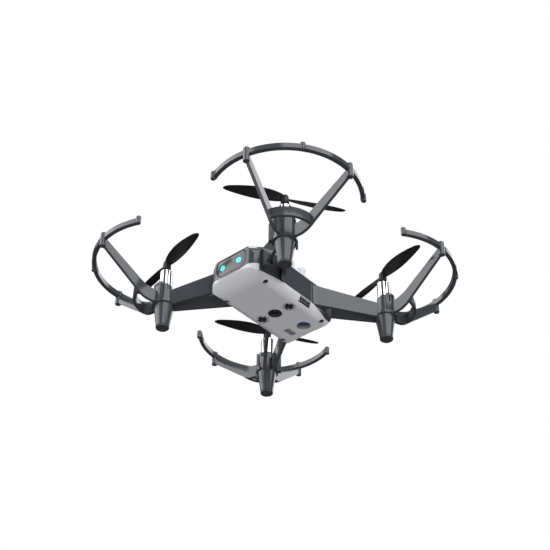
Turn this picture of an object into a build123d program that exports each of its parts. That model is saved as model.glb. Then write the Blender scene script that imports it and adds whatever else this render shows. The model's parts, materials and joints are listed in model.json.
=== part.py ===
from build123d import *
import math
import os

# Palm-sized four-motor drone with clip-on propeller guards.
# Millimetres. Z is up, the nose points to -Y, the drone's left side is +X.
# The origin is on the ground, midway between the four motors.

# ---- driving dimensions -------------------------------------------------
MOTOR_X = 36.2          # motor axis, half spacing across
MOTOR_Y = 36.2          # motor axis, half spacing along
BODY_HALF = 14.5        # body half width
BODY_REAR = 23.6
BODY_FRONT = -31.5      # middle of the bowed nose
NOSE_SIDE = -30.7       # where the bow meets the corner rounds
NOSE_HALF = 8.5
BODY_BOTTOM = 11.8
BODY_TOP = 31.3
SKIN = 1.2              # wall of every shell
EDGE_LOW = 4.5          # rounding of the lower long edges
EDGE_HIGH = 3.4         # rounding of the upper long edges
CHIN_START = -21.5      # the belly curves up to the nose from here
CHIN_TOP = 16.4
BROW_R = 8.8            # the roof curves down to the nose
CHIN_AHEAD = 0.4        # the chin's curve would meet the nose this far ahead of it
TAIL_CHAMFER = (0.8, 1.7)   # along, up
SPLIT_LOW = 16.0        # belly shell to side frame
SPLIT_HIGH = 28.3       # side frame to top shell
BAND_LOW = 15.9         # lower edge of the nose band in the middle
BAND_SIDE = 17.3        # the same at the nose corners
TAIL_NOTCH_HALF = 5.8   # notch in the rear edge of the belly
PANEL_END = 10.6        # the side panel between the arms runs to +-this
FRONT_DIP = 13.9        # the arm roots reach lower than the side panel, down to this at the nose
REAR_DIP = 12.3         # and to this at the rear corners
BAND_REAR = -27.3       # where the nose band ends on the sides
BAND_TOP = 28.0         # upper edge of the nose band over the face panel
BAND_DROP = 26.4        # the same at the nose corners
BAND_DROP_FROM = 9.2
BAND_RISE_FROM = 5.6
BAND_RISE_TO = 9.6

FACE_WIDE = 17.0
FACE_TALL = 10.2
FACE_ROUND = 4.4
FACE_Z = 22.4
FACE_GROOVE = 0.45
EYE_X = 4.85
EYE_Z = 21.7
EYE_R = 1.3

STUD_PITCH = 8.0
STUD_R = 2.4
STUD_TALL = 1.7
AXLE_X = 8.0            # cross-axle sockets in the belly
AXLE_Y = 0.3
AXLE_LONG = 4.8
AXLE_ARM = 2.5
AXLE_RING_R = 3.0
AXLE_DEPTH = 3.0
SCREW_X = 11.5
SCREW_FRONT_Y = -20.4
SCREW_REAR_Y = 19.4
SCREW_HEAD_R = 1.15
SCREW_SEAT = 1.0        # head below the belly
SCREW_HEAD_TALL = 1.2
SCREW_TOP = 20.0
SCREW_R = 0.7
DRIVE_LONG = 1.6        # cross recess in the head
DRIVE_WIDE = 0.3
DRIVE_DEPTH = 0.5
BOSS_R = 1.75
EYEHOLE_R = 3.3         # camera hole and range-finder hole
CAMERA_AT = (-0.4, 0.3)
BARREL_STEP = 0.7
BARREL_RIM_R = 2.6
LENS_R = 1.2
LENS_AT = 1.9           # flat of the lens above the belly
RANGE_AT = (3.5, 16.4)
RANGE_DEPTH = 3.0
WELL_WALL = 0.6
FINDER_SIZE = (7.4, 7.2, 1.0)
WINDOW_AT = (-4.8, 16.4)
WINDOW_SIZE = (3.4, 6.3)
WINDOW_ROUND = 0.8
USB_Y = 4.6
USB_Z = 14.35
USB_WIDE = 7.6
USB_TALL = 2.7
USB_HALF = 3.7          # metal shell of the socket
USB_SHELL_TALL = 2.4
TONGUE_HALF = 2.4

WALL = 1.6              # arm walls
INNER_ROOT = (14.5, 11.9)
INNER_END = (34.3, 32.0)
OUTER_ROOT = (14.5, 25.0)
OUTER_END = (32.6, 36.3)
ARM_TOP = (26.9, 19.2)      # root, motor end
ARM_LOW = (16.2, 11.4)
ROOT_BURY = 3.4             # the wall ends are cut to the body from this far inside
WIRE_HOLE = (5.5, 3.0)      # tall, wide
WIRE_HOLE_AT = (20.0, 23.8) # distance from the middle, height
CORNER_R = 6.0              # rounding between side panel and arm
SLEEVE_R = 4.05
SLEEVE_BORE = 3.05
SLEEVE_LOW = 11.8
SLEEVE_ARM_SIDE = 19.8      # the sleeve is thin above this towards the body
SLEEVE_THIN_R = 3.35
STEP_SPREAD = 60
SLEEVE_TOP = 22.8
FOOT_END_R = 3.05
FOOT_TOP_R = 4.7
CAP_TALL = 0.95
CAP_GROOVE = 0.25           # between the rubber cap and the foot

CAN_R = 3.0
CAN_LOW = 16.7
CAN_TOP = 31.6
CAN_SKIN = 0.3
SHAFT_R = 0.4
SHAFT_TOP = 37.2
BUSH_R = 0.9
RUN_GAP = 0.03
COIL_R = 2.35
HUB_R = 1.8
HUB_LOW = 33.4
HUB_TOP = 38.5
PROP_R = 28.0
BLADE_Z = 36.6

GUARD_AIM = 52.6            # outward direction of a guard, degrees from the long axis
STRUT_SPREAD = 40.3
END_SPREAD = 75.3
RING_R = 34.1
RING_WIDE = 2.0
RING_LOW = 34.6
RING_TOP = 37.1
PEG_AT = 34.55
PEG_R = 1.2
STRUT_PEG_R = 1.5
PEG_TOP = 38.1
PEG_LOW = 34.1
STRUT_PEG_LOW = 30.6
STRUT_THICK = 1.5
BRIDGE_R = 14.55
BRIDGE_THICK = 1.5
BRIDGE_LOW = 15.2
BRIDGE_TOP = 20.0
COLLAR_BORE = 4.15
COLLAR_R = 5.25
COLLAR_LOW = 12.2
COLLAR_TOP = 23.1
COLLAR_SPREAD = 83
FLANGE_SPREAD = 126
FLANGE_R = 5.6
FLANGE_LOW = 11.9
FLANGE_TOP = 13.6
SLOT_AT = 50                # the snap slots of the collar, degrees from the outward direction
SLOT_HALF = 1.5
SLOT_WIDE = 0.6
SLOT_LOW = 18.4
SLOT_TOP = 21.9
RAIL_REACH = 7.0
RAIL_HALF = 1.2
TAB_HALF = 0.9
TAB_LOW = 8.9

FLOOR_LOW = 17.2            # inner floor that carries the battery
FLOOR_TOP = 18.2
BOARD_LOW = 15.6
BOARD_THICK = 0.8
BOARD_HALF = 10.5
BOARD_FRONT = -17.6
BOARD_END = 12.5
CHIP_TALL = 0.65
CHIPS = ((-5.4, -12, 5, 5), (5.6, -14.5, 4, 4), (8.5, -6, 3, 2), (0, 8.6, 6, 3))   # x, y, wide, long
PACK_WIDE = 21.0
PACK_LOW = 18.8
PACK_TOP = 27.4
PACK_FRONT = -15.0
DOOR_HALF = 11.0
DOOR_LOW = 18.7
DOOR_TOP = 27.5
PACK_REAR = 22.0
BUTTON_Y = -21.0
BUTTON_R = 2.6
BUTTON_TOP = 31.45
BUTTON_TRAVEL = 0.6
SWITCH_LOW = 25.0            # underside of the small board under the button
POST_GAP = 4.4
POST_R = 1.0
MOVING_GAP = 0.3

DIAGONAL = math.sqrt(0.5)

CORNERS = {
    "front_left": (1, -1),
    "front_right": (-1, -1),
    "rear_left": (1, 1),
    "rear_right": (-1, 1),
}
# Where the side rail and the hanging tab of each guard sit, degrees from its outward direction,
# before the guard is mirrored to its corner.
GUARD_LUGS = {
    "front_left": (104, -80),
    "front_right": (-104, -80),
    "rear_left": (104, 80),
    "rear_right": (104, -80),
}
# Where one blade of each propeller points, degrees from +X.
BLADE_AIM = {"front_left": -124, "front_right": -15, "rear_left": -16, "rear_right": -120}

os.makedirs("parts", exist_ok=True)


# ---- helpers ------------------------------------------------------------
def save(shape, name):
    export_step(shape, f"parts/{name}.step")


def block(x0, x1, y0, y1, z0, z1):
    centre = ((x0 + x1) / 2, (y0 + y1) / 2, (z0 + z1) / 2)
    return Pos(*centre) * Box(x1 - x0, y1 - y0, z1 - z0)


def rod(x, y, z0, z1, radius):
    return Pos(x, y, (z0 + z1) / 2) * Cylinder(radius, z1 - z0)


def tube(x, y, z0, z1, outer, bore):
    return rod(x, y, z0, z1, outer) - rod(x, y, z0 - 1, z1 + 1, bore)


def upright(points, z0, z1):
    """A prism with a vertical axis from plan points."""
    outline = make_face(Polyline(*points, close=True))
    return Pos(0, 0, z0) * extrude(outline, z1 - z0)


def sector(radius, start, stop, z0, z1):
    """A pie slice about the Z axis; angles in degrees from +X."""
    steps = 8
    points = [(0, 0)]
    for i in range(steps + 1):
        a = math.radians(start + (stop - start) * i / steps)
        points.append((radius * math.cos(a), radius * math.sin(a)))
    return upright(points, z0, z1)


def to_corner(shape, corner):
    """Copy a shape made for the rear left corner to another corner."""
    side, end = CORNERS[corner]
    if side < 0:
        shape = mirror(shape, about=Plane.YZ)
    if end < 0:
        shape = mirror(shape, about=Plane.XZ)
    return shape


# ---- body form ----------------------------------------------------------
def plan_outline(half, rear, front, shoulder):
    """The body seen from above: a bowed nose, two rounded front corners and a flat rear."""
    corner_r = half - NOSE_HALF
    corner_y = shoulder + corner_r
    mid_x = NOSE_HALF + corner_r * DIAGONAL
    mid_y = corner_y - corner_r * DIAGONAL
    return make_face([
        ThreePointArc((-NOSE_HALF, shoulder), (0, front), (NOSE_HALF, shoulder)),
        ThreePointArc((NOSE_HALF, shoulder), (mid_x, mid_y), (half, corner_y)),
        Line((half, corner_y), (half, rear)),
        Line((half, rear), (-half, rear)),
        Line((-half, rear), (-half, corner_y)),
        ThreePointArc((-half, corner_y), (-mid_x, mid_y), (-NOSE_HALF, shoulder)),
    ])


def brow_prism(reach, high, radius, turn):
    """Everything behind a brow that curves down from the roof at that distance, turned from the nose."""
    side = Plane.YZ * make_face([
        Line((60, 0), (-reach, 0)),
        Line((-reach, 0), (-reach, high - radius)),
        ThreePointArc((-reach, high - radius),
                      (-reach + radius * (1 - DIAGONAL), high - radius * (1 - DIAGONAL)),
                      (-reach + radius, high)),
        Line((-reach + radius, high), (60, high)),
        Line((60, high), (60, 0)),
    ])
    return Rot(0, 0, turn) * extrude(side, 60, both=True)


def belly_prism(rear, chin_y, low):
    """Everything above the belly line: bevelled tail, flat belly and a chin that curves up to the nose."""
    chin_run = CHIN_START - chin_y
    chin_rise = CHIN_TOP - BODY_BOTTOM
    chin_r = (chin_run ** 2 + chin_rise ** 2) / (2 * chin_rise)
    half_turn = math.asin(chin_run / chin_r) / 2
    chin_mid = (CHIN_START - chin_r * math.sin(half_turn), low + chin_r * (1 - math.cos(half_turn)))
    run, rise = TAIL_CHAMFER
    tail_top = low + rise * (1 + 1 / run)
    side = Plane.YZ * make_face([
        Line((rear + 1, tail_top), (rear - run, low)),
        Line((rear - run, low), (CHIN_START, low)),
        ThreePointArc((CHIN_START, low), chin_mid, (chin_y, low + chin_rise)),
        Line((chin_y, low + chin_rise), (chin_y, 60)),
        Line((chin_y, 60), (rear + 1, 60)),
        Line((rear + 1, 60), (rear + 1, tail_top)),
    ])
    return extrude(side, 40, both=True)


def body_form(inset):
    """The outer form of the body, drawn in by inset on every side."""
    half = BODY_HALF - inset
    rear = BODY_REAR - inset
    shoulder = NOSE_SIDE + inset
    low = BODY_BOTTOM + inset
    high = BODY_TOP - inset
    chin_y = BODY_FRONT - CHIN_AHEAD + inset
    corner_r = half - NOSE_HALF
    corner_reach = (NOSE_HALF - shoulder - corner_r) * DIAGONAL + corner_r
    form = extrude(plan_outline(half, rear, BODY_FRONT + inset, shoulder), 60)
    form = form & belly_prism(rear, chin_y, low)
    for reach, turn in ((-chin_y, 0), (corner_reach, 45), (corner_reach, -45)):
        form = form & brow_prism(reach, high, BROW_R - inset, turn)
    tall = 60
    lower = Pos(0, low + tall / 2) * RectangleRounded(2 * half, tall, EDGE_LOW - inset)
    upper = Pos(0, high - tall / 2) * RectangleRounded(2 * half, tall, EDGE_HIGH - inset)
    for section in (lower, upper):
        form = form & extrude(Plane.XZ * section, 60, both=True)
    return form


OUTER = body_form(0)
INNER = body_form(SKIN)


def band_zone():
    """The space of the nose band, from the belly shell up to the top shell."""
    right_half = [
        (BAND_RISE_FROM, BAND_LOW), (BAND_RISE_TO, BAND_SIDE), (BODY_HALF + 5, BAND_SIDE),
        (BODY_HALF + 5, BAND_DROP), (BAND_DROP_FROM + 1, BAND_DROP), (BAND_DROP_FROM, BAND_TOP),
    ]
    outline = right_half + [(-x, z) for x, z in reversed(right_half)]
    face = Plane.XZ * make_face(Polyline(*outline, close=True))
    return Pos(0, BAND_REAR, 0) * extrude(face, 30)


def face_prism(grow):
    size = RectangleRounded(FACE_WIDE + 2 * grow, FACE_TALL + 2 * grow, FACE_ROUND + grow)
    return Pos(0, -20, 0) * extrude(Plane.XZ * Pos(0, FACE_Z) * size, 30)


def eyes(radius):
    prism = None
    for x in (-EYE_X, EYE_X):
        eye = Pos(x, -35, EYE_Z) * Rot(90, 0, 0) * Cylinder(radius, 16)
        prism = eye if prism is None else prism + eye
    return prism


def cross_prism(x, y, z0, z1):
    long = AXLE_LONG / 2
    arm = AXLE_ARM / 2
    along = block(x - arm, x + arm, y - long, y + long, z0, z1)
    return along + block(x - long, x + long, y - arm, y + arm, z0, z1)


def root_zone(front):
    """Where the arm roots of the left side replace the side of the shells."""
    if front:
        near, far, dip, start = -PANEL_END, BAND_REAR, FRONT_DIP, NOSE_HALF
    else:
        near, far, dip, start = PANEL_END, BODY_REAR, REAR_DIP, BODY_HALF - SKIN
    outline = Polyline((near, SPLIT_HIGH), (near, SPLIT_LOW), (far, dip), (far, SPLIT_HIGH), close=True)
    return Pos(start, 0, 0) * extrude(Plane.YZ * make_face(outline), 40)


SCREWS = [(sx * SCREW_X, y) for sx in (1, -1) for y in (SCREW_FRONT_Y, SCREW_REAR_Y)]
INSIDE_LOW = BODY_BOTTOM + SKIN


def bottom_shell():
    below = block(-40, 40, -40, 40, 0, SPLIT_LOW)
    nose = block(-40, 40, -60, BAND_REAR, 0, BAND_SIDE)
    skin = OUTER & (below + nose) - band_zone()
    skin = skin - (INNER & block(-40, 40, -40, 40, 0, SPLIT_HIGH))
    skin = skin - block(-40, 40, BAND_REAR - 0.01, 40, SPLIT_LOW, 40)
    for front in (True, False):
        skin = skin - root_zone(front) - mirror(root_zone(front), about=Plane.YZ)
    fused = body_form(SKIN - 0.05)
    for x, y in SCREWS:
        skin = skin + (rod(x, y, BODY_BOTTOM, FLOOR_LOW, BOSS_R) & fused)
        skin = skin - rod(x, y, 0, BODY_BOTTOM + SCREW_SEAT + SCREW_HEAD_TALL, SCREW_HEAD_R + 0.1)
        skin = skin - rod(x, y, 0, 40, SCREW_R)
    for x in (-AXLE_X, AXLE_X):
        skin = skin + rod(x, AXLE_Y, BODY_BOTTOM, BODY_BOTTOM + AXLE_DEPTH + 0.4, AXLE_RING_R)
        skin = skin - tube(x, AXLE_Y, 0, BODY_BOTTOM + 0.2, AXLE_RING_R + 0.15, AXLE_RING_R - 0.15)
        skin = skin - cross_prism(x, AXLE_Y, 0, BODY_BOTTOM + AXLE_DEPTH)
    skin = skin - rod(*CAMERA_AT, 0, INSIDE_LOW + 1, EYEHOLE_R)
    well = rod(*RANGE_AT, BODY_BOTTOM + 0.3, BODY_BOTTOM + RANGE_DEPTH, EYEHOLE_R + WELL_WALL)
    skin = skin + well - rod(*RANGE_AT, 0, BODY_BOTTOM + RANGE_DEPTH + 1, EYEHOLE_R)
    slot = extrude(RectangleRounded(*WINDOW_SIZE, WINDOW_ROUND), 8)
    skin = skin - Pos(*WINDOW_AT, BODY_BOTTOM - 3) * slot
    skin = skin - block(BODY_HALF - 3.3, 40, USB_Y - USB_WIDE / 2, USB_Y + USB_WIDE / 2,
                        USB_Z - USB_TALL / 2, USB_Z + USB_TALL / 2)
    notch = block(-TAIL_NOTCH_HALF, TAIL_NOTCH_HALF, BODY_REAR - 1.0, 40, 0, SPLIT_LOW - 1.3)
    return skin - notch


def top_shell():
    lid = OUTER & block(-40, 40, -40, 40, SPLIT_HIGH, 60)
    brow = OUTER & block(-40, 40, -60, BAND_REAR, BAND_DROP, SPLIT_HIGH)
    lid = lid + (brow - band_zone())
    for x in (-1.5, -0.5, 0.5, 1.5):
        for y in (-0.5, 0.5):
            lid = lid + rod(x * STUD_PITCH, y * STUD_PITCH, SPLIT_HIGH, BODY_TOP + STUD_TALL, STUD_R)
    lid = lid - INNER
    lid = lid - rod(0, BUTTON_Y, 20, 60, BUTTON_R + MOVING_GAP)
    for y in (BUTTON_Y - POST_GAP, BUTTON_Y + POST_GAP):
        lid = lid + rod(0, y, SWITCH_LOW + 0.8, BODY_TOP - 1, POST_R)
    return lid


def front_band():
    band = OUTER & band_zone()
    band = band - INNER
    pocket = face_prism(FACE_GROOVE)
    ledge = (body_form(SKIN) - body_form(2 * SKIN)) & face_prism(1.4) & band_zone()
    ledge = ledge - face_prism(-1.2)
    return band - pocket + ledge


def face_panel():
    plate = (body_form(0.15) - body_form(SKIN)) & face_prism(0)
    return plate - eyes(EYE_R)


def led_eyes():
    lens = (body_form(0.05) - body_form(SKIN + 0.9)) & eyes(EYE_R)
    return lens


# ---- side frame and arms ------------------------------------------------
def centre_frame():
    panels = (OUTER - INNER) & block(-40, 40, -PANEL_END, PANEL_END, SPLIT_LOW, SPLIT_HIGH)
    floor = INNER & block(-40, 40, BAND_REAR, BODY_REAR, FLOOR_LOW, FLOOR_TOP)
    half = BODY_HALF - SKIN
    rear = OUTER & block(-half, half, BODY_REAR - SKIN, BODY_REAR, SPLIT_LOW, SPLIT_HIGH)
    rear = rear - block(-DOOR_HALF - MOVING_GAP, DOOR_HALF + MOVING_GAP, 0, 40,
                        DOOR_LOW - MOVING_GAP, DOOR_TOP + MOVING_GAP)
    frame = panels + floor + rear
    for x, y in SCREWS:
        frame = frame + rod(x, y, FLOOR_LOW, FLOOR_TOP, BOSS_R) - rod(x, y, 0, SCREW_TOP + 1, SCREW_R)
    wire_way = block(-3, 3, -10, -4, 0, 20)
    return frame - wire_way


def wall_plate(root, end):
    """A vertical plate along the line from root to end, run on into the sleeve and into the body."""
    run = math.dist(root, end)
    along = ((end[0] - root[0]) / run, (end[1] - root[1]) / run)
    to_motor = (MOTOR_X - root[0], MOTOR_Y - root[1])
    forward = to_motor[0] * along[0] + to_motor[1] * along[1]
    aside = to_motor[1] * along[0] - to_motor[0] * along[1]
    stop = forward - math.sqrt((SLEEVE_R - 0.4) ** 2 - aside ** 2)
    start = -ROOT_BURY
    fall_top = (ARM_TOP[1] - ARM_TOP[0]) / run
    fall_low = (ARM_LOW[1] - ARM_LOW[0]) / run
    outline = make_face(Polyline(
        (start, ARM_LOW[0] + fall_low * start), (stop, ARM_LOW[0] + fall_low * stop),
        (stop, ARM_TOP[0] + fall_top * stop), (start, ARM_TOP[0] + fall_top * start), close=True))
    plate = extrude(Plane.XZ * outline, WALL / 2, both=True)
    turn = math.degrees(math.atan2(along[1], along[0]))
    return Pos(root[0], root[1], 0) * Rot(0, 0, turn) * plate


def corner_web():
    """The rounded corner where the side panel runs into the inner wall of the rear left arm."""
    turn = math.atan2(INNER_END[1] - INNER_ROOT[1], INNER_END[0] - INNER_ROOT[0])
    bend = math.pi / 2 - turn
    reach = CORNER_R * math.tan(bend / 2)
    corner_y = INNER_ROOT[1] - WALL / 2 / math.cos(turn)
    along_wall = (BODY_HALF + reach * math.cos(turn), corner_y + reach * math.sin(turn))
    centre = (BODY_HALF + CORNER_R, corner_y - reach)
    mid_turn = math.pi - bend / 2
    mid = (centre[0] + CORNER_R * math.cos(mid_turn), centre[1] + CORNER_R * math.sin(mid_turn))
    outline = make_face([
        ThreePointArc((BODY_HALF, corner_y - reach), mid, along_wall),
        Line(along_wall, (BODY_HALF, corner_y + 0.3)),
        Line((BODY_HALF, corner_y + 0.3), (BODY_HALF, corner_y - reach)),
    ])
    low = ARM_LOW[0] - 0.2
    return Pos(0, 0, low) * extrude(outline, ARM_TOP[0] - low - 0.2)


def arm(front):
    """The left arm at that end, placed at the rear: two walls, a root pad, the motor sleeve and the foot."""
    form = mirror(OUTER, about=Plane.XZ) if front else OUTER
    core = mirror(INNER, about=Plane.XZ) if front else INNER
    zone = mirror(root_zone(True), about=Plane.XZ) if front else root_zone(False)
    pad = (form - core) & zone
    hole_y, hole_z = WIRE_HOLE_AT
    slot = extrude(Plane.YZ * SlotOverall(WIRE_HOLE[0], WIRE_HOLE[1], rotation=90), 4, both=True)
    pad = pad - Pos(BODY_HALF, hole_y, hole_z) * slot
    walls = wall_plate(INNER_ROOT, INNER_END) + wall_plate(OUTER_ROOT, OUTER_END)
    walls = (walls - form) & block(BODY_HALF - 2.5, 60, PANEL_END - 3, 60, 0, 60)
    if not front:
        walls = walls + corner_web()
    sleeve = rod(MOTOR_X, MOTOR_Y, SLEEVE_LOW, SLEEVE_TOP, SLEEVE_R)
    inward = math.degrees(math.atan2(-math.cos(math.radians(GUARD_AIM)), -math.sin(math.radians(GUARD_AIM))))
    step = sector(12, inward - STEP_SPREAD, inward + STEP_SPREAD, SLEEVE_ARM_SIDE, SLEEVE_TOP + 1)
    step = Pos(MOTOR_X, MOTOR_Y, 0) * (step - rod(0, 0, 0, SLEEVE_TOP + 2, SLEEVE_THIN_R))
    foot_mid = Pos(MOTOR_X, MOTOR_Y, (CAP_TALL + SLEEVE_LOW) / 2)
    foot = foot_mid * Cone(FOOT_END_R, FOOT_TOP_R, SLEEVE_LOW - CAP_TALL)
    hollow = foot_mid * Cone(FOOT_END_R - 1, SLEEVE_R - 1, SLEEVE_LOW - CAP_TALL + 0.02)
    bore = rod(MOTOR_X, MOTOR_Y, SLEEVE_LOW, 40, SLEEVE_BORE)
    shelf = tube(MOTOR_X, MOTOR_Y, CAN_LOW - 1, CAN_LOW, SLEEVE_R, 1.6)
    return pad + walls + (sleeve - step) + foot - hollow - bore + shelf


def foot_cap():
    cap = rod(MOTOR_X, MOTOR_Y, 0, CAP_TALL - CAP_GROOVE, FOOT_END_R + 0.05)
    cap = fillet(cap.edges().group_by(Axis.Z)[0], 0.35)
    cap = cap + rod(MOTOR_X, MOTOR_Y, CAP_TALL / 2, CAP_TALL, FOOT_END_R - CAP_GROOVE)
    return cap + rod(MOTOR_X, MOTOR_Y, CAP_TALL, CAP_TALL + 1.8, FOOT_END_R - 1.05)


# ---- guards -------------------------------------------------------------
def strut():
    """A guard strut along +X from the motor axis, at Y = 0."""
    outline = make_face([
        Line((COLLAR_R - 0.6, 12.6), (8.6, 12.6)),
        ThreePointArc((8.6, 12.6), (12.2, 13.75), (15.2, 16.0)),
        Line((15.2, 16.0), (PEG_AT, 31.4)),
        Line((PEG_AT, 31.4), (PEG_AT, 36.0)),
        Line((PEG_AT, 36.0), (15.2, 22.6)),
        ThreePointArc((15.2, 22.6), (11.2, 20.2), (COLLAR_R - 0.6, 18.9)),
        Line((COLLAR_R - 0.6, 18.9), (COLLAR_R - 0.6, 12.6)),
    ])
    return extrude(Plane.XZ * outline, STRUT_THICK / 2, both=True)


def guard(rail_at, tab_at):
    """A guard placed at the rear left, one moulding that clips round the motor sleeve."""
    aim = 90 - GUARD_AIM
    body = tube(0, 0, RING_LOW, RING_TOP, RING_R + RING_WIDE / 2, RING_R - RING_WIDE / 2)
    body = body & sector(60, aim - END_SPREAD, aim + END_SPREAD, 0, 60)
    for spread in (-END_SPREAD, -STRUT_SPREAD, 0, STRUT_SPREAD, END_SPREAD):
        a = math.radians(aim + spread)
        low, radius = (STRUT_PEG_LOW, STRUT_PEG_R) if abs(spread) == STRUT_SPREAD else (PEG_LOW, PEG_R)
        peg = rod(PEG_AT * math.cos(a), PEG_AT * math.sin(a), low, PEG_TOP, radius)
        body = body + fillet(peg.edges().filter_by(GeomType.CIRCLE), 0.35)
    for spread in (-STRUT_SPREAD, STRUT_SPREAD):
        body = body + Rot(0, 0, aim + spread) * strut()
    bridge = tube(0, 0, BRIDGE_LOW, BRIDGE_TOP, BRIDGE_R, BRIDGE_R - BRIDGE_THICK)
    body = body + (bridge & sector(30, aim - STRUT_SPREAD, aim + STRUT_SPREAD, 0, 60))
    collar = rod(0, 0, COLLAR_LOW, COLLAR_TOP, COLLAR_R)
    collar = collar & sector(20, aim - COLLAR_SPREAD, aim + COLLAR_SPREAD, 0, 60)
    flange = rod(0, 0, FLANGE_LOW, FLANGE_TOP, FLANGE_R)
    flange = flange & sector(20, aim - FLANGE_SPREAD, aim + FLANGE_SPREAD, 0, 60)
    body = body + collar + flange
    for spread in (-SLOT_AT, SLOT_AT):
        across = block(4, 7, -SLOT_HALF, SLOT_HALF, SLOT_TOP - SLOT_WIDE, SLOT_TOP)
        down = block(4, 7, -SLOT_HALF, -SLOT_HALF + SLOT_WIDE, SLOT_LOW, SLOT_TOP)
        body = body - Rot(0, 0, aim + spread) * (across + down)
    rail = block(COLLAR_BORE + 0.4, RAIL_REACH, -RAIL_HALF, RAIL_HALF, COLLAR_LOW + 0.4, COLLAR_TOP - 1.2)
    tab = block(COLLAR_BORE + 0.5, FLANGE_R, -TAB_HALF, TAB_HALF, TAB_LOW, FLANGE_LOW + 0.5)
    body = body + Rot(0, 0, aim + rail_at) * rail + Rot(0, 0, aim + tab_at) * tab
    body = body - rod(0, 0, 0, 33, COLLAR_BORE)
    return Pos(MOTOR_X, MOTOR_Y, 0) * body


# ---- motors and propellers ----------------------------------------------
def motor_can(x, y):
    can = rod(x, y, CAN_LOW, CAN_TOP, CAN_R)
    can = fillet(can.edges().group_by(Axis.Z)[-1], 0.3)
    can = can - rod(x, y, CAN_LOW - 1, CAN_TOP - 0.5, CAN_R - CAN_SKIN)
    can = can + rod(x, y, CAN_TOP - 0.1, CAN_TOP + 0.5, 1.3)
    return can - rod(x, y, 0, 60, BUSH_R)


def motor_bush(x, y):
    return tube(x, y, CAN_TOP - 2.6, CAN_TOP + 0.5, BUSH_R, SHAFT_R + RUN_GAP)


def motor_end_cap(x, y):
    cap = rod(x, y, CAN_LOW, CAN_LOW + 1.2, CAN_R - CAN_SKIN)
    return cap - rod(x, y, CAN_LOW + 0.5, CAN_LOW + 3, SHAFT_R + RUN_GAP)


def motor_coil(x, y):
    return tube(x, y, CAN_LOW + 1.8, CAN_TOP - 3.1, COIL_R, SHAFT_R)


def motor_shaft(x, y):
    return rod(x, y, CAN_LOW + 0.6, SHAFT_TOP, SHAFT_R)


def blade():
    """One blade along +X at Z = 0: twisted sections, wide in the middle."""
    sections = []
    for radius, chord, thick, pitch in ((1.0, 2.0, 0.9, 30), (7, 4.6, 0.8, 24), (14, 5.6, 0.7, 18),
                                        (22, 4.6, 0.55, 13), (PROP_R - 0.6, 2.2, 0.4, 10)):
        place = Plane(origin=(radius, 0.12 * chord, 0), x_dir=(0, 1, 0), z_dir=(1, 0, 0))
        sections.append(place * Rot(0, 0, pitch) * Ellipse(chord / 2, thick / 2))
    return loft(sections)


BLADE = blade()


def propeller(x, y, aim, turn):
    hub = rod(0, 0, HUB_LOW, HUB_TOP, HUB_R)
    hub = fillet(hub.edges().group_by(Axis.Z)[-1], 1.1)
    hub = fillet(hub.edges().group_by(Axis.Z)[0], 0.25)
    one = BLADE if turn > 0 else mirror(BLADE, about=Plane.XZ)
    prop = hub
    for half in (0, 180):
        prop = prop + Pos(0, 0, BLADE_Z) * Rot(0, 0, aim + half) * one
    prop = prop - rod(0, 0, 30, SHAFT_TOP, SHAFT_R)
    return Pos(x, y, 0) * prop


# ---- insides ------------------------------------------------------------
def main_board():
    top = BOARD_LOW + BOARD_THICK
    board = block(-BOARD_HALF, BOARD_HALF, BOARD_FRONT, BOARD_END, BOARD_LOW, top)
    board = board + block(10, BODY_HALF - SKIN - 0.3, USB_Y - USB_HALF, USB_Y + USB_HALF, BOARD_LOW, top)
    for x, y, wide, long in CHIPS:
        board = board + block(x - wide / 2, x + wide / 2, y - long / 2, y + long / 2, top, top + CHIP_TALL)
    return board


def flow_camera():
    """A stepped barrel that fills the camera hole, with the lens at the bottom of the inner step."""
    barrel = rod(*CAMERA_AT, BODY_BOTTOM + 0.25, BOARD_LOW, EYEHOLE_R - 0.15)
    rim = rod(*CAMERA_AT, 0, BODY_BOTTOM + BARREL_STEP, BARREL_RIM_R)
    return barrel - rim - rod(*CAMERA_AT, 0, BODY_BOTTOM + LENS_AT, LENS_R + 0.05)


def flow_lens():
    lens = Pos(*CAMERA_AT, BODY_BOTTOM + LENS_AT) * Sphere(LENS_R)
    return lens & rod(*CAMERA_AT, BODY_BOTTOM, BODY_BOTTOM + LENS_AT, 2)


def range_finder():
    x, y = RANGE_AT
    wide, long, tall = FINDER_SIZE
    low = BODY_BOTTOM + RANGE_DEPTH
    return block(x - wide / 2, x + wide / 2, y - long / 2, y + long / 2, low, low + tall)


def range_window():
    return rod(*RANGE_AT, BODY_BOTTOM + RANGE_DEPTH - 0.5, BODY_BOTTOM + RANGE_DEPTH, 2.4)


def height_sensor():
    x, y = WINDOW_AT
    return block(x - 2.4, x + 2.4, y - 2.9, y + 2.9, INSIDE_LOW, INSIDE_LOW + 1.0)


def usb_port():
    x0 = BODY_HALF - 3.2
    x1 = BODY_HALF - 0.7
    low = BOARD_LOW - USB_SHELL_TALL
    wall = 0.3
    shell = block(x0, x1, USB_Y - USB_HALF, USB_Y + USB_HALF, low, BOARD_LOW)
    shell = fillet(shell.edges().filter_by(Axis.X), 0.6)
    shell = shell - block(x0 + 2 * wall, x1 + 1, USB_Y - USB_HALF + wall, USB_Y + USB_HALF - wall,
                          low + wall, BOARD_LOW - wall)
    tongue = block(x0 + wall, x1 - 0.4, USB_Y - TONGUE_HALF, USB_Y + TONGUE_HALF, low + 1.0, low + 1.5)
    return shell + tongue


def battery():
    pack = block(-PACK_WIDE / 2, PACK_WIDE / 2, PACK_FRONT, PACK_REAR, PACK_LOW, PACK_TOP)
    return fillet(pack.edges().filter_by(Axis.Y), 1.2)


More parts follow.
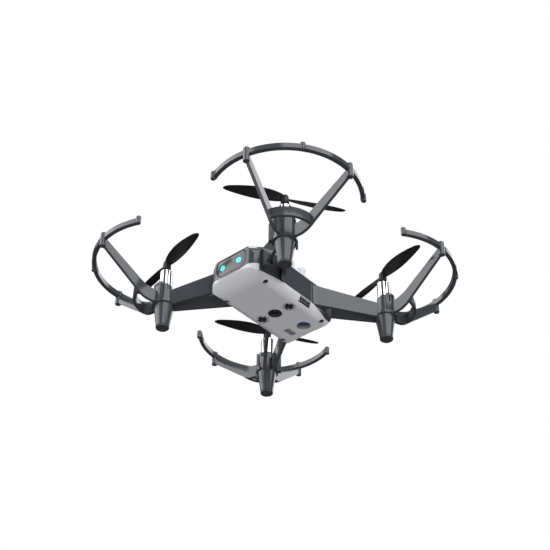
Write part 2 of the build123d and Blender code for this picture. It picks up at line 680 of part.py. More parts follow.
def battery_cap():
    cap = block(-DOOR_HALF, DOOR_HALF, PACK_REAR, BODY_REAR + 0.5, DOOR_LOW, DOOR_TOP)
    cap = fillet(cap.edges().filter_by(Axis.Y), 1.0)
    grips = None
    for z in (21.2, 23.1, 25.0):
        groove = block(-6, 6, BODY_REAR + 0.1, BODY_REAR + 2, z - 0.4, z + 0.4)
        grips = groove if grips is None else grips + groove
    return cap - grips


def battery_socket():
    return block(-5, 5, PACK_FRONT - 3.4, PACK_FRONT - MOVING_GAP, FLOOR_TOP, FLOOR_TOP + 5)


def power_button():
    low = SWITCH_LOW + 1.5 + BUTTON_TRAVEL
    cap = rod(0, BUTTON_Y, low, BUTTON_TOP, BUTTON_R)
    return fillet(cap.edges().group_by(Axis.Z)[-1], 0.4)


def button_board():
    reach = POST_GAP + POST_R
    board = block(-4.5, 4.5, BUTTON_Y - reach, BUTTON_Y + reach, SWITCH_LOW, SWITCH_LOW + 0.8)
    return board + block(-2.2, 2.2, BUTTON_Y - 2.2, BUTTON_Y + 2.2, SWITCH_LOW + 0.8, SWITCH_LOW + 1.4)


def shell_screws():
    heads = []
    for x, y in SCREWS:
        low = BODY_BOTTOM + SCREW_SEAT
        screw = rod(x, y, low, low + SCREW_HEAD_TALL, SCREW_HEAD_R)
        screw = screw + rod(x, y, low + SCREW_HEAD_TALL, SCREW_TOP, SCREW_R)
        recess = low + DRIVE_DEPTH
        for wide, long in ((DRIVE_LONG, DRIVE_WIDE), (DRIVE_WIDE, DRIVE_LONG)):
            screw = screw - block(x - wide / 2, x + wide / 2, y - long / 2, y + long / 2, 0, recess)
        heads.append(screw)
    return Compound(children=heads)


# ---- write every piece --------------------------------------------------
save(bottom_shell(), "bottom_shell")
save(top_shell(), "top_shell")
save(front_band(), "front_band")
save(face_panel(), "face_panel")
save(led_eyes(), "led_eyes")
save(centre_frame(), "centre_frame")
save(main_board(), "main_board")
save(flow_camera(), "flow_camera")
save(flow_lens(), "flow_lens")
save(range_finder(), "range_finder")
save(range_window(), "range_window")
save(height_sensor(), "height_sensor")
save(usb_port(), "usb_port")
save(battery(), "battery")
save(battery_cap(), "battery_cap")
save(battery_socket(), "battery_socket")
save(power_button(), "power_button")
save(button_board(), "button_board")
save(shell_screws(), "shell_screws")

FRONT_ARM = arm(True)
REAR_ARM = arm(False)
CAP = foot_cap()
for corner, (side, end) in CORNERS.items():
    x = side * MOTOR_X
    y = end * MOTOR_Y
    save(to_corner(FRONT_ARM if end < 0 else REAR_ARM, corner), f"arm_{corner}")
    save(to_corner(CAP, corner), f"foot_cap_{corner}")
    save(to_corner(guard(*GUARD_LUGS[corner]), corner), f"guard_{corner}")
    save(motor_can(x, y), f"motor_can_{corner}")
    save(motor_bush(x, y), f"motor_bush_{corner}")
    save(motor_end_cap(x, y), f"motor_end_cap_{corner}")
    save(motor_coil(x, y), f"motor_coil_{corner}")
    save(motor_shaft(x, y), f"motor_shaft_{corner}")
    save(propeller(x, y, BLADE_AIM[corner], -side * end), f"propeller_{corner}")
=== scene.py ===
import bmesh
import bpy
import json
import math
from mathutils import Matrix, Vector


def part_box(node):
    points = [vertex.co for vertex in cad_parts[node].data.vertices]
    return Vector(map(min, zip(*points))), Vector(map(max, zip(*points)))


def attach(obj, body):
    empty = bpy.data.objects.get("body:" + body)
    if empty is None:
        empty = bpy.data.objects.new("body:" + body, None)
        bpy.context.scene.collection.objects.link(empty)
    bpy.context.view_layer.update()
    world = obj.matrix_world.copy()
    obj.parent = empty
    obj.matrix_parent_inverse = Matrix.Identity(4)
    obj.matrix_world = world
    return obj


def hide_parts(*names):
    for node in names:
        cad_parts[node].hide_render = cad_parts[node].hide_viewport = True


# Visual model of a palm-sized four-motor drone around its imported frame.
# Materials, studio and camera are in metres, and the detail pieces are drawn in millimetres.
# The nose points to -Y, the drone's left side is +X, and the camera looks up from below.

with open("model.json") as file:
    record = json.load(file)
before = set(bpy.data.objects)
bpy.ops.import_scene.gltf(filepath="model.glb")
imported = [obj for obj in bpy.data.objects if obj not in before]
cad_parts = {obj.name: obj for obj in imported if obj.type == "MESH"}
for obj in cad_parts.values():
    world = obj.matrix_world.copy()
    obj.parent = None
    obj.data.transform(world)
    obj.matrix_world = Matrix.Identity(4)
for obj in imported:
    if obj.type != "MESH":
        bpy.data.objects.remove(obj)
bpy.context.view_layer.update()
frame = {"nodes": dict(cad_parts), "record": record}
NODES = frame["nodes"]
CORNERS = {
    "front_left": (1, -1),
    "front_right": (-1, -1),
    "rear_left": (1, 1),
    "rear_right": (-1, 1),
}


# ---- materials ----------------------------------------------------------
EDGE_SOFTNESS = 0.00012     # the rounding that a mould leaves on an edge
CREVICE_REACH = 0.0016      # how far a surface looks for others that close it in, for the painted shade in crevices
GRAIN_DEPTH = 0.00002       # relief of moulded plastic
MARK_DEPTH = 0.00001        # relief of drawn or turned metal
BEVEL_SAMPLES = 4
OPENNESS_SAMPLES = 8
OPENNESS_RANGE = (0.25, 0.9)    # painted shade in crevices is darkest up to the first, untouched from the second
PATCH_RANGE = (0.35, 0.65)      # part of the noise that plastic's colour follows
MARK_RANGE = (0.3, 0.7)         # the same for metal, glass and lamps

# Noise scales, in cells per metre.
PATCH_CELLS = 90
PLASTIC_GLOSS_CELLS = 150
METAL_GLOSS_CELLS = 300
FILM_CELLS = 300
GLOW_CELLS = 500


def new_material(name):
    """An empty node material: the material, its tree and its shader."""
    material = bpy.data.materials.new(name)
    material.use_nodes = True
    shader = material.node_tree.nodes["Principled BSDF"]
    return material, material.node_tree, shader


def add(tree, kind, **settings):
    """A new node of that kind with its settings applied."""
    node = tree.nodes.new(kind)
    for key, value in settings.items():
        setattr(node, key, value)
    return node


def noise(tree, scale, detail=4.0, roughness=0.55):
    """Noise over the object's own coordinates; scale is in cells per metre."""
    where = add(tree, "ShaderNodeTexCoord")
    grain = add(tree, "ShaderNodeTexNoise")
    grain.inputs["Scale"].default_value = scale
    grain.inputs["Detail"].default_value = detail
    grain.inputs["Roughness"].default_value = roughness
    tree.links.new(where.outputs["Object"], grain.inputs["Vector"])
    return grain.outputs["Fac"]


def ramp(tree, source, limits, low_color, high_color):
    """Low_color up to the first limit, high_color from the second, and a blend between."""
    blend = add(tree, "ShaderNodeValToRGB")
    for stop, at, color in zip(blend.color_ramp.elements, limits, (low_color, high_color)):
        stop.position = at
        stop.color = (*color, 1)
    tree.links.new(source, blend.inputs["Fac"])
    return blend.outputs["Color"]


def spread(tree, source, low, high):
    """Maps a 0 to 1 value onto low to high."""
    scaled = add(tree, "ShaderNodeMapRange")
    scaled.inputs["To Min"].default_value = low
    scaled.inputs["To Max"].default_value = high
    tree.links.new(source, scaled.inputs["Value"])
    return scaled.outputs["Result"]


def bump(tree, shader, source, strength, depth, edge=EDGE_SOFTNESS):
    """Fine relief over edges that are rounded by edge metres."""
    rounded = add(tree, "ShaderNodeBevel", samples=BEVEL_SAMPLES)
    rounded.inputs["Radius"].default_value = edge
    relief = add(tree, "ShaderNodeBump")
    relief.inputs["Strength"].default_value = strength
    relief.inputs["Distance"].default_value = depth
    tree.links.new(rounded.outputs["Normal"], relief.inputs["Normal"])
    tree.links.new(source, relief.inputs["Height"])
    tree.links.new(relief.outputs["Normal"], shader.inputs["Normal"])


def paint_crevice_shade(tree, color, darkest):
    """Paints shade into a colour where the surface is closed in, darkening it down to darkest."""
    openness = add(tree, "ShaderNodeAmbientOcclusion", samples=OPENNESS_SAMPLES)
    openness.inputs["Distance"].default_value = CREVICE_REACH
    shade = add(tree, "ShaderNodeMix", data_type="RGBA", blend_type="MULTIPLY")
    shade.inputs["Factor"].default_value = 1.0
    tree.links.new(color, shade.inputs["A"])
    grey = ramp(tree, openness.outputs["AO"], OPENNESS_RANGE, (darkest,) * 3, (1, 1, 1))
    tree.links.new(grey, shade.inputs["B"])
    return shade.outputs["Result"]


def scaled_color(color, factor):
    """A colour with its channels multiplied, held below 1."""
    return tuple(min(1, channel * factor) for channel in color)


def plastic(name, color, rough, vary=0.03, grain=9000, relief=0.015, specular=0.5, crevice_shade=0.35):
    """Moulded plastic: fine spark-erosion grain, faint flow patches, uneven gloss and painted shade in
    its crevices.
    """
    material, tree, shader = new_material(name)
    darker = scaled_color(color, 1 - vary)
    lighter = scaled_color(color, 1 + vary)
    tint = ramp(tree, noise(tree, PATCH_CELLS), PATCH_RANGE, darker, lighter)
    gloss = spread(tree, noise(tree, PLASTIC_GLOSS_CELLS), rough * 0.92, rough * 1.08)
    tree.links.new(paint_crevice_shade(tree, tint, crevice_shade), shader.inputs["Base Color"])
    tree.links.new(gloss, shader.inputs["Roughness"])
    bump(tree, shader, noise(tree, grain, detail=2), relief, GRAIN_DEPTH)
    shader.inputs["Specular IOR Level"].default_value = specular
    return material


def metal(name, color, rough, grain=3000, relief=0.006, edge=(1, 1, 1)):
    """Bare metal with fine drawn or turned marks; edge is its tint where light grazes it."""
    material, tree, shader = new_material(name)
    marks = noise(tree, grain, detail=3)
    tint = ramp(tree, marks, MARK_RANGE, scaled_color(color, 0.93), color)
    gloss = spread(tree, noise(tree, METAL_GLOSS_CELLS), rough * 0.85, rough * 1.2)
    tree.links.new(tint, shader.inputs["Base Color"])
    tree.links.new(gloss, shader.inputs["Roughness"])
    bump(tree, shader, marks, relief, MARK_DEPTH, EDGE_SOFTNESS / 2)
    shader.inputs["Metallic"].default_value = 1.0
    shader.inputs["Specular Tint"].default_value = (*edge, 1)
    return material


def glass(name, tint, rough=0.03):
    """Coated lens glass over a dark chamber."""
    material, tree, shader = new_material(name)
    film = ramp(tree, noise(tree, FILM_CELLS), MARK_RANGE, tint, scaled_color(tint, 0.6))
    tree.links.new(film, shader.inputs["Base Color"])
    shader.inputs["Roughness"].default_value = rough
    shader.inputs["Coat Weight"].default_value = 1.0
    shader.inputs["Coat Roughness"].default_value = 0.02
    return material


def lamp(name, color, strength):
    """A lit lens with a faint unevenness."""
    material, tree, shader = new_material(name)
    glow = ramp(tree, noise(tree, GLOW_CELLS), MARK_RANGE, scaled_color(color, 0.94), color)
    tree.links.new(glow, shader.inputs["Base Color"])
    tree.links.new(glow, shader.inputs["Emission Color"])
    shader.inputs["Emission Strength"].default_value = strength
    shader.inputs["Roughness"].default_value = 0.2
    return material


# Each plastic below also darkens its colour in crevices as painted shade.
PALE = plastic("pale_plastic", (0.56, 0.56, 0.585), 0.42, vary=0.01, crevice_shade=0.12)
FRAME = plastic("frame_plastic", (0.046, 0.049, 0.056), 0.13, relief=0.004)
BLACK = plastic("black_plastic", (0.012, 0.012, 0.013), 0.32, specular=0.22)
BOARD = plastic("board_lacquer", (0.012, 0.09, 0.04), 0.3, vary=0.2)
WRAP = plastic("battery_wrap", (0.03, 0.04, 0.07), 0.25, vary=0.1)
RUBBER = plastic("foot_rubber", (0.035, 0.037, 0.039), 0.55, grain=5000, relief=0.1)
CAN = metal("bright_can", (0.93, 0.93, 0.94), 0.05, relief=0.002, edge=(0.1, 0.1, 0.12))
STEEL = metal("steel", (0.62, 0.62, 0.63), 0.25)
OXIDE = metal("black_oxide", (0.10, 0.10, 0.105), 0.35)
BUSH = metal("bush_brass", (0.80, 0.62, 0.30), 0.25)
COPPER = metal("coil_copper", (0.80, 0.42, 0.22), 0.3)
# Dark grey for the axle sockets' cups, which paint the shade inside them.
SHADE = plastic("socket_painted_shade", (0.07, 0.07, 0.073), 0.5, crevice_shade=0.2)
# Mid grey: painted shade on the range-finder well's wall, and the height sensor's own grey face.
WELL_SHADE_AND_SENSOR_GREY = plastic("well_shade_and_sensor_grey", (0.22, 0.22, 0.225), 0.5, crevice_shade=0.3)
BARREL = plastic("barrel_plastic", (0.035, 0.033, 0.034), 0.5, crevice_shade=0.3)
LENS = glass("lens_glass", (0.02, 0.008, 0.045))
BLUE = glass("blue_glass", (0.01, 0.02, 0.30))
LIT = lamp("lit_cyan", (0.03, 1.0, 1.0), 1.0)

FINISHES = {
    "bottom_shell": PALE, "top_shell": PALE, "front_band": FRAME, "face_panel": FRAME, "led_eyes": LIT,
    "centre_frame": FRAME, "main_board": BOARD, "flow_camera": BARREL, "flow_lens": LENS,
    "range_finder": BLACK, "range_window": BLUE, "height_sensor": WELL_SHADE_AND_SENSOR_GREY, "usb_port": STEEL,
    "battery": WRAP, "battery_cap": FRAME, "battery_socket": BLACK, "power_button": FRAME,
    "button_board": BOARD, "shell_screws": OXIDE,
}
for corner in CORNERS:
    FINISHES.update({
        f"arm_{corner}": FRAME, f"foot_cap_{corner}": RUBBER, f"guard_{corner}": FRAME,
        f"motor_can_{corner}": CAN, f"motor_bush_{corner}": BUSH, f"motor_end_cap_{corner}": BLACK,
        f"motor_coil_{corner}": COPPER, f"motor_shaft_{corner}": STEEL, f"propeller_{corner}": BLACK,
    })
for node, finish in FINISHES.items():
    mesh = NODES[node].data
    mesh.materials.clear()
    mesh.materials.append(finish)


# ---- drawing in millimetres ---------------------------------------------
MM = 0.001
SHARP_ANGLE = 40            # degrees: a smooth piece keeps creases steeper than this
PAD_SOFTNESS = 0.3          # share of a pad's least size that its edges lose


def box_mm(node):
    """The lowest and highest corner of a CAD node at rest."""
    low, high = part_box(node)
    return low / MM, high / MM


def axis_mm(node):
    """Where the vertical line through a CAD node's middle stands, as (x, y)."""
    low, high = box_mm(node)
    return (low.x + high.x) / 2, (low.y + high.y) / 2


def link_mesh(name, form, finish, body, smooth=True):
    """Turns a bmesh in millimetres into an object that rides on a body."""
    bmesh.ops.recalc_face_normals(form, faces=form.faces)
    bmesh.ops.scale(form, vec=(MM, MM, MM), verts=form.verts)
    mesh = bpy.data.meshes.new(name)
    form.to_mesh(mesh)
    form.free()
    if smooth:
        mesh.shade_smooth()
        mesh.set_sharp_from_angle(angle=math.radians(SHARP_ANGLE))
    mesh.materials.append(finish)
    piece = bpy.data.objects.new(name, mesh)
    bpy.context.scene.collection.objects.link(piece)
    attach(piece, body)
    return piece


def bridge(form, low, high):
    """Joins two rings of vertices with quads."""
    for i in range(len(low)):
        j = (i + 1) % len(low)
        form.faces.new((low[i], low[j], high[j], high[i]))


def skin_rings(form, rings):
    """Joins rings of points into a tube with closed ends."""
    made = [[form.verts.new(point) for point in ring] for ring in rings]
    for low, high in zip(made, made[1:]):
        bridge(form, low, high)
    form.faces.new(made[0])
    form.faces.new(made[-1])


def turned(form, profile, sides=48):
    """A turned solid about the z axis; the profile runs (radius, height)."""
    rings = []
    for radius, height in profile:
        ring = []
        for i in range(sides):
            angle = 2 * math.pi * i / sides
            ring.append((radius * math.cos(angle), radius * math.sin(angle), height))
        rings.append(ring)
    skin_rings(form, rings)


def round_section(radius, height, thick, points=12):
    """A round section for turned_ring: where its middle is, and its own radius."""
    angles = [2 * math.pi * i / points for i in range(points)]
    return [(radius + thick * math.cos(angle), height + thick * math.sin(angle)) for angle in angles]


def turned_ring(form, x, y, section, sides=48):
    """A ring about the vertical line at x, y with a closed section of (radius, height) points."""
    rings = []
    for i in range(sides):
        angle = 2 * math.pi * i / sides
        points = [(x + r * math.cos(angle), y + r * math.sin(angle), z) for r, z in section]
        rings.append([form.verts.new(point) for point in points])
    for here, there in zip(rings, rings[1:] + rings[:1]):
        bridge(form, here, there)


def centred(count, pitch):
    """Evenly spaced places about 0."""
    return [pitch * (i - (count - 1) / 2) for i in range(count)]


def pad(form, centre, size):
    """A small flat block with its edges taken off."""
    made = bmesh.ops.create_cube(form, size=1)["verts"]
    bmesh.ops.scale(form, vec=size, verts=made)
    bmesh.ops.translate(form, vec=centre, verts=made)
    edges = list({edge for vert in made for edge in vert.link_edges})
    bmesh.ops.bevel(form, geom=edges, offset=min(size) * PAD_SOFTNESS, segments=2, affect="EDGES")


# ---- propellers ---------------------------------------------------------
BLADE_AIM = {"front_left": -124, "front_right": -15, "rear_left": -16, "rear_right": -120}  # degrees
BLADE_DROP = 1.9            # the blades' plane below the top of the hub
BLADE_ROOT = 1.2
BLADE_TIP = 28.0
BLADE_STEPS = 26            # even steps from root to tip
TIP_STEPS = (0.7, 0.3, 0.1, 0.0)    # how far the last sections are from the tip
ROOT_CHORD = 2.2
ADDED_CHORD = 3.9           # what the widest place adds to the chord at the root
LEAST_CHORD = 0.25
SWELL_REACH = 1.02          # these three shape how the chord swells along the blade
SWELL_SHIFT = 0.85
SWELL_FULLNESS = 0.8
TIP_ROUND_FROM = 0.93       # share of the radius where the tip starts to round off
TIP_WIDTH = 0.25            # share of the chord left at the very tip
ROOT_THICK = 0.95
LOST_THICK = 0.6            # from root to tip, like LOST_PITCH
ROOT_PITCH = 31             # degrees
LOST_PITCH = 21
NOSE_FULLNESS = 1.5         # how full the section is behind its round front edge
CAMBER = 0.5
LEAST_THICK = 0.06
TWIST_LINE = 0.38           # share of the chord ahead of the line that the blade twists about
CHORD_STEPS = 9

# Hub outline as (radius, height above the blades' plane).
HUB_PROFILE = [(0.42, -3.2), (1.5, -3.2), (1.8, -2.9), (1.8, 0.7), (1.55, 1.5), (0.9, 1.85), (0.01, 1.9)]
HUB_RIBS = 10
RIB_AT = 1.78
RIB_RADIUS = 0.17
RIB_LENGTH = 2.6
RIB_HEIGHT = -1.6


def blade_chord(share):
    """The blade's width at a share of its radius: widest near the middle, with a round tip."""
    swell = math.sin(math.pi * min(1, share * SWELL_REACH) ** SWELL_SHIFT) ** SWELL_FULLNESS
    past = max(0.0, (share - TIP_ROUND_FROM) / (1 - TIP_ROUND_FROM))
    tip_round = math.sqrt(max(0.0, 1 - past ** 2))
    chord = (ROOT_CHORD + ADDED_CHORD * swell) * (TIP_WIDTH + (1 - TIP_WIDTH) * tip_round)
    return max(LEAST_CHORD, chord)


def blade_ring(radius, hand):
    """The section of a blade at a radius: cambered, twisted, round in front and thin behind."""
    share = radius / BLADE_TIP
    chord = blade_chord(share)
    thick = ROOT_THICK - LOST_THICK * share
    pitch = math.radians(ROOT_PITCH - LOST_PITCH * share)
    backward = [i / CHORD_STEPS for i in range(CHORD_STEPS)]
    forward = [1 - at for at in backward]
    ring = []
    for face, places in ((1, backward), (-1, forward)):
        for at in places:
            height = thick * NOSE_FULLNESS * (math.sqrt(at) - at) + LEAST_THICK
            along = (at - TWIST_LINE) * chord
            up = CAMBER * at * (1 - at) + face * height / 2
            y = along * math.cos(pitch) - up * math.sin(pitch)
            z = along * math.sin(pitch) + up * math.cos(pitch)
            ring.append((radius, hand * y, z))
    return ring


def propeller(corner):
    """Two twisted blades with round tips on a ribbed push-on hub."""
    side, end = CORNERS[corner]
    hand = -side * end
    form = bmesh.new()
    turned(form, HUB_PROFILE)
    for i in range(HUB_RIBS):
        angle = 2 * math.pi * i / HUB_RIBS
        place = (RIB_AT * math.cos(angle), RIB_AT * math.sin(angle), RIB_HEIGHT)
        rib = bmesh.ops.create_cone(form, cap_ends=True, segments=10, radius1=RIB_RADIUS,
                                    radius2=RIB_RADIUS, depth=RIB_LENGTH)
        bmesh.ops.translate(form, verts=rib["verts"], vec=place)
    radii = [BLADE_ROOT + (BLADE_TIP - BLADE_ROOT) * i / BLADE_STEPS for i in range(BLADE_STEPS)]
    radii += [BLADE_TIP - step for step in TIP_STEPS]
    for half_turn in (0, math.pi):
        before = len(form.verts)
        skin_rings(form, [blade_ring(radius, hand) for radius in radii])
        form.verts.ensure_lookup_table()
        bmesh.ops.rotate(form, verts=form.verts[before:], matrix=Matrix.Rotation(half_turn, 3, "Z"))
    aim = math.radians(BLADE_AIM[corner])
    top = box_mm(f"propeller_{corner}")[1].z
    middle = (*axis_mm(f"motor_shaft_{corner}"), top - BLADE_DROP)
    bmesh.ops.rotate(form, verts=form.verts, matrix=Matrix.Rotation(aim, 3, "Z"))
    bmesh.ops.translate(form, verts=form.verts, vec=middle)
    piece = link_mesh(f"propeller_blades_{corner}", form, BLACK, f"spinner_{corner}")
    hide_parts(f"propeller_{corner}")


# ---- motors and feet ----------------------------------------------------
# Round beads, as (radius of the ring, height, radius of the bead itself).
CAN_ROLL = (2.86, 31.5, 0.14)
BUSH_BOSS = (1.25, 32.1, 0.09)
FOOT_BEAD = (3.02, 0.64, 0.1)


def motor_trim(corner):
    """The rolled edge of a motor can and the raised boss around its bush."""
    x, y = axis_mm(f"motor_shaft_{corner}")
    form = bmesh.new()
    turned_ring(form, x, y, round_section(*CAN_ROLL))
    turned_ring(form, x, y, round_section(*BUSH_BOSS))
    link_mesh(f"motor_rolled_edge_{corner}", form, CAN, "drone")


def foot_rim(corner):
    """The moulded bead round a rubber foot, near the ground."""
    x, y = axis_mm(f"motor_shaft_{corner}")
    form = bmesh.new()
    turned_ring(form, x, y, round_section(*FOOT_BEAD))
    link_mesh(f"foot_bead_{corner}", form, RUBBER, "drone")


# ---- belly --------------------------------------------------------------
BELLY = box_mm("bottom_shell")[0].z
SCREW_X = 11.5
SCREW_Y = (-20.4, 19.4)
SCREW_FACE = box_mm("shell_screws")[0].z
SCREW_RIM = (0.98, SCREW_FACE + 0.05, 0.15)

FLOW_AT = axis_mm("flow_lens")
FLOW_FACE = box_mm("flow_camera")[0].z
FLOW_RINGS = [(2.6, FLOW_FACE + 0.02, 0.1), (1.8, FLOW_FACE + 0.45, 0.1), (1.3, FLOW_FACE + 0.5, 0.12)]
RANGE_AT = axis_mm("range_finder")
RANGE_BEZEL = (2.5, box_mm("range_window")[0].z + 0.1, 0.12)
WELL_WALL = (3.18, 3.29)            # inner and outer radius
WELL_REACH = (0.35, 2.95)           # both ends, above the belly

AXLES = sorted((mount["pos_m"][0] / MM, mount["pos_m"][1] / MM)
               for mount in frame["record"]["mounts"] if mount["name"].startswith("axle_socket"))
SOCKET_REACH = 2.36                 # from the middle of the lining's cross to the end of an arm
SOCKET_ARM = 1.21                   # half of an arm's width
SOCKET_WALL = 0.08
SOCKET_MOUTH = 0.12                 # heights above the belly
SOCKET_FLOOR = 2.90
SOCKET_BACK = 2.96


def screw_heads():
    """Domed rings that give the four case screws a rounded head around the cross recess."""
    form = bmesh.new()
    for x in (-SCREW_X, SCREW_X):
        for y in SCREW_Y:
            turned_ring(form, x, y, round_section(*SCREW_RIM), sides=32)
    link_mesh("screw_head_rims", form, OXIDE, "drone")


def well_shade_lining():
    """A grey tube on the wall of the range-finder well, darker than the belly as painted shade."""
    inner, outer = WELL_WALL
    low, high = (BELLY + reach for reach in WELL_REACH)
    form = bmesh.new()
    turned_ring(form, *RANGE_AT, [(inner, low), (outer, low), (outer, high), (inner, high)])
    link_mesh("range_well_shade_lining", form, WELL_SHADE_AND_SENSOR_GREY, "drone", smooth=False)


def cross_points(reach, arm):
    """The twelve corners of a cross, in order."""
    quarter = [(reach, -arm), (reach, arm), (arm, arm)]
    points = []
    for turn in range(4):
        cos, sin = round(math.cos(turn * math.pi / 2)), round(math.sin(turn * math.pi / 2))
        points += [(x * cos - y * sin, x * sin + y * cos) for x, y in quarter]
    return points


def socket_shade_linings():
    """Thin dark cross-shaped cups inside the two axle sockets: painted shade in their depths."""
    outside = cross_points(SOCKET_REACH, SOCKET_ARM)
    inside = cross_points(SOCKET_REACH - SOCKET_WALL, SOCKET_ARM - SOCKET_WALL)
    levels = (
        (outside, SOCKET_MOUTH),
        (outside, SOCKET_BACK),
        (inside, SOCKET_FLOOR),
        (inside, SOCKET_MOUTH),
    )
    form = bmesh.new()
    for x, y in AXLES:
        outer_mouth, back, cup_floor, inner_mouth = [
            [form.verts.new((x + px, y + py, BELLY + z)) for px, py in points] for points, z in levels]
        bridge(form, outer_mouth, back)
        bridge(form, cup_floor, inner_mouth)
        bridge(form, inner_mouth, outer_mouth)
        form.faces.new(back)
        form.faces.new(cup_floor)
    link_mesh("axle_socket_shade_linings", form, SHADE, "drone", smooth=False)


def lens_rings():
    """Stepped rings of the downward camera and the bezel of the range-finder window."""
    form = bmesh.new()
    for ring in FLOW_RINGS:
        turned_ring(form, *FLOW_AT, round_section(*ring))
    turned_ring(form, *RANGE_AT, round_section(*RANGE_BEZEL))
    link_mesh("lens_rings", form, BLACK, "drone")


# ---- charging socket and battery ----------------------------------------
USB_LOW, USB_HIGH = box_mm("usb_port")
USB_CONTACT = (1.2, 0.35, 0.06)
USB_CONTACT_AT = (USB_LOW.x + 1.1, axis_mm("usb_port")[1], USB_HIGH.z - 1.37)
USB_CONTACTS = 5
USB_PITCH = 0.75

PACK_LOW, PACK_HIGH = box_mm("battery")
PACK_MIDDLE = (PACK_LOW.y + PACK_HIGH.y) / 2
SEAM = (3.2, PACK_HIGH.y - PACK_LOW.y - 1.2, 0.06)
SEAM_X = 2.0
SEAM_LIFT = 0.02                    # how far the middle of each pad stands off the pack
BAND = (17.6, 1.4, 0.07)
BAND_LIFT = 0.03
BANDS_AT = (PACK_LOW.y + 2.0, PACK_HIGH.y - 2.6)
PACK_CONTACT = (1.2, 0.08, 2.6)
PACK_CONTACTS = 4
PACK_CONTACT_PITCH = 2.0
PACK_CONTACT_DROP = 3.0
CONTACT_LIFT = 0.03


def usb_contacts():
    """Five gold contacts on the tongue of the charging socket."""
    x, y, z = USB_CONTACT_AT
    form = bmesh.new()
    for step in centred(USB_CONTACTS, USB_PITCH):
        pad(form, (x, y + step, z), USB_CONTACT)
    link_mesh("usb_contacts", form, BUSH, "drone", smooth=False)


def battery_details():
    """The overlapped seam of the battery's wrap, its end bands and its four contacts."""
    form = bmesh.new()
    pad(form, (SEAM_X, PACK_MIDDLE, PACK_HIGH.z + SEAM_LIFT), SEAM)
    for y in BANDS_AT:
        pad(form, (0, y, PACK_HIGH.z + BAND_LIFT), BAND)
    link_mesh("battery_wrap_seams", form, WRAP, "battery_pack", smooth=False)
    form = bmesh.new()
    for x in centred(PACK_CONTACTS, PACK_CONTACT_PITCH):
        pad(form, (x, PACK_LOW.y - CONTACT_LIFT, PACK_HIGH.z - PACK_CONTACT_DROP), PACK_CONTACT)
    link_mesh("battery_contacts", form, BUSH, "battery_pack", smooth=False)


for corner in CORNERS:
    propeller(corner)
    motor_trim(corner)
    foot_rim(corner)
screw_heads()
well_shade_lining()
socket_shade_linings()
lens_rings()
usb_contacts()
battery_details()


# ---- studio -------------------------------------------------------------
# Soft panels of the studio: azimuth from, to, elevation from, to (degrees), edge softness, radiance.
PANELS = [
    (-168, -97, 3, 68, 6, 3.0),
    (-54, 21, 3, 68, 6, 2.8),
    (65, 104, 3, 60, 7, 2.7),
    (104, 124, 3, 60, 8, 0.4),
    (172, 190, 3, 60, 12, 0.8),
    (-115, 15, -72, -8, 25, 1.75),
]
PANEL_TINT = (0.985, 0.99, 1.0)
OVERHEAD = (66, 100, 12)        # elevation from, to, edge softness
OVERHEAD_RADIANCE = 0.4
AMBIENT_RISE = (-10, 15)        # elevations between which the ambient light grows
AMBIENT_LOW = 0.03
AMBIENT_HIGH = 0.10
AMBIENT_TINT = (0.78, 0.88, 1.0)
FLOOR_SIZE = 6
FLOOR_HEIGHT = -0.62


def maths(tree, operation, *values):
    """A maths node; each value is a number or a socket."""
    node = add(tree, "ShaderNodeMath", operation=operation)
    for i, value in enumerate(values):
        if isinstance(value, (int, float)):
            node.inputs[i].default_value = value
        else:
            tree.links.new(value, node.inputs[i])
    return node.outputs["Value"]


def smooth_step(tree, source, start, stop, low=0.0, high=1.0):
    """Low up to start, high from stop, and a soft rise between."""
    step = add(tree, "ShaderNodeMapRange", interpolation_type="SMOOTHSTEP")
    for name, value in (("From Min", start), ("From Max", stop), ("To Min", low), ("To Max", high)):
        step.inputs[name].default_value = value
    tree.links.new(source, step.inputs["Value"])
    return step.outputs["Result"]


def window(tree, source, start, stop, soft):
    """1 between start and stop, falling to 0 over soft around either limit."""
    opens = smooth_step(tree, source, start - soft / 2, start + soft / 2)
    closes = smooth_step(tree, source, stop + soft / 2, stop - soft / 2)
    return maths(tree, "MULTIPLY", opens, closes)


def background(tree, tint, strength=None):
    """A background of that tint, as strong as a socket says, or 1."""
    node = add(tree, "ShaderNodeBackground")
    node.inputs["Color"].default_value = (*tint, 1)
    if strength is not None:
        tree.links.new(strength, node.inputs["Strength"])
    return node.outputs["Background"]


def direction(tree):
    """The azimuth and elevation of a ray that reaches the world, in degrees."""
    where = add(tree, "ShaderNodeTexCoord")
    parts = add(tree, "ShaderNodeSeparateXYZ")
    tree.links.new(where.outputs["Generated"], parts.inputs["Vector"])
    turn = maths(tree, "ARCTAN2", parts.outputs["Y"], parts.outputs["X"])
    rise = maths(tree, "ARCSINE", parts.outputs["Z"])
    return [maths(tree, "MULTIPLY", angle, math.degrees(1)) for angle in (turn, rise)]


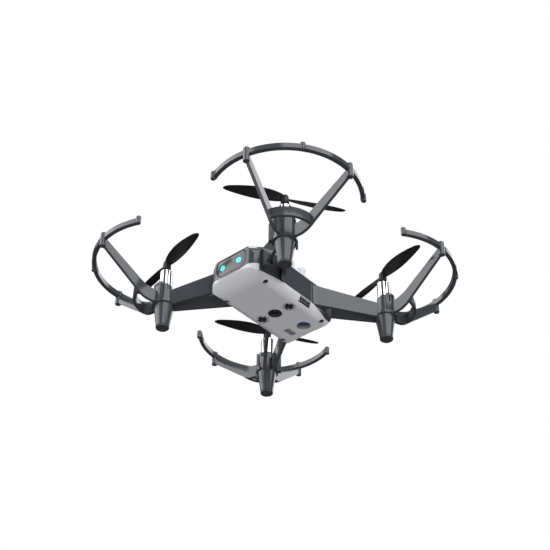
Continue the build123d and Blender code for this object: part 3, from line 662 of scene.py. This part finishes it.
def studio():
    """A white cyclorama to look at, and soft panels for light and reflections."""
    world = bpy.data.worlds.new("studio")
    bpy.context.scene.world = world
    world.use_nodes = True
    tree = world.node_tree
    tree.nodes.clear()
    azimuth, elevation = direction(tree)
    total = maths(tree, "MULTIPLY", window(tree, elevation, *OVERHEAD), OVERHEAD_RADIANCE)
    for az_from, az_to, low, high, soft, radiance in PANELS:
        across = window(tree, azimuth, az_from, az_to, soft)
        up = window(tree, elevation, low, high, soft)
        panel = maths(tree, "MULTIPLY", across, up)
        total = maths(tree, "ADD", total, maths(tree, "MULTIPLY", panel, radiance))
    ambient = smooth_step(tree, elevation, *AMBIENT_RISE, AMBIENT_LOW, AMBIENT_HIGH)
    light = add(tree, "ShaderNodeAddShader")
    tree.links.new(background(tree, PANEL_TINT, total), light.inputs[0])
    tree.links.new(background(tree, AMBIENT_TINT, ambient), light.inputs[1])
    rays = add(tree, "ShaderNodeLightPath")
    mix = add(tree, "ShaderNodeMixShader")
    out = add(tree, "ShaderNodeOutputWorld")
    tree.links.new(rays.outputs["Is Camera Ray"], mix.inputs["Fac"])
    tree.links.new(light.outputs["Shader"], mix.inputs[1])
    tree.links.new(background(tree, (1, 1, 1)), mix.inputs[2])
    tree.links.new(mix.outputs["Shader"], out.inputs["Surface"])


def floor():
    """A pale floor well below the hovering drone, outside the main view."""
    bpy.ops.mesh.primitive_plane_add(size=FLOOR_SIZE, location=(0, 0, FLOOR_HEIGHT))
    plane = bpy.context.object
    plane.name = "studio_floor"
    plane.data.materials.append(plastic("studio_paper", (0.86, 0.86, 0.87), 0.8, vary=0.01))
    plane.visible_diffuse = False
    plane.visible_glossy = False
    plane.visible_transmission = False
    plane.visible_shadow = False


# ---- camera -------------------------------------------------------------
CAMERA_AIM = Vector((0.0284, -0.03346, 0.0))
CAMERA_AZIMUTH = 40.613         # degrees
CAMERA_ELEVATION = -37.723
CAMERA_ROLL = 0.361
CAMERA_DISTANCE = 0.50597
CAMERA_NEAR = 0.01
CAMERA_LENS = 77.8              # millimetres, like the sensor's width
CAMERA_SENSOR = 36


def camera():
    """The main view, from below and ahead of the drone's left side."""
    azimuth = math.radians(CAMERA_AZIMUTH)
    elevation = math.radians(CAMERA_ELEVATION)
    level = math.cos(elevation)
    away = Vector((math.sin(azimuth) * level, -math.cos(azimuth) * level, math.sin(elevation)))
    data = bpy.data.cameras.new("camera")
    data.lens = CAMERA_LENS
    data.sensor_width = CAMERA_SENSOR
    data.clip_start = CAMERA_NEAR
    eye = bpy.data.objects.new("camera", data)
    bpy.context.scene.collection.objects.link(eye)
    place = Matrix.Translation(CAMERA_AIM + away * CAMERA_DISTANCE)
    facing = away.to_track_quat("Z", "Y").to_matrix().to_4x4()
    roll = Matrix.Rotation(math.radians(CAMERA_ROLL), 4, "Z")
    eye.matrix_world = place @ facing @ roll
    bpy.context.scene.camera = eye


studio()
floor()
camera()
bpy.context.scene.view_settings.view_transform = "Standard"
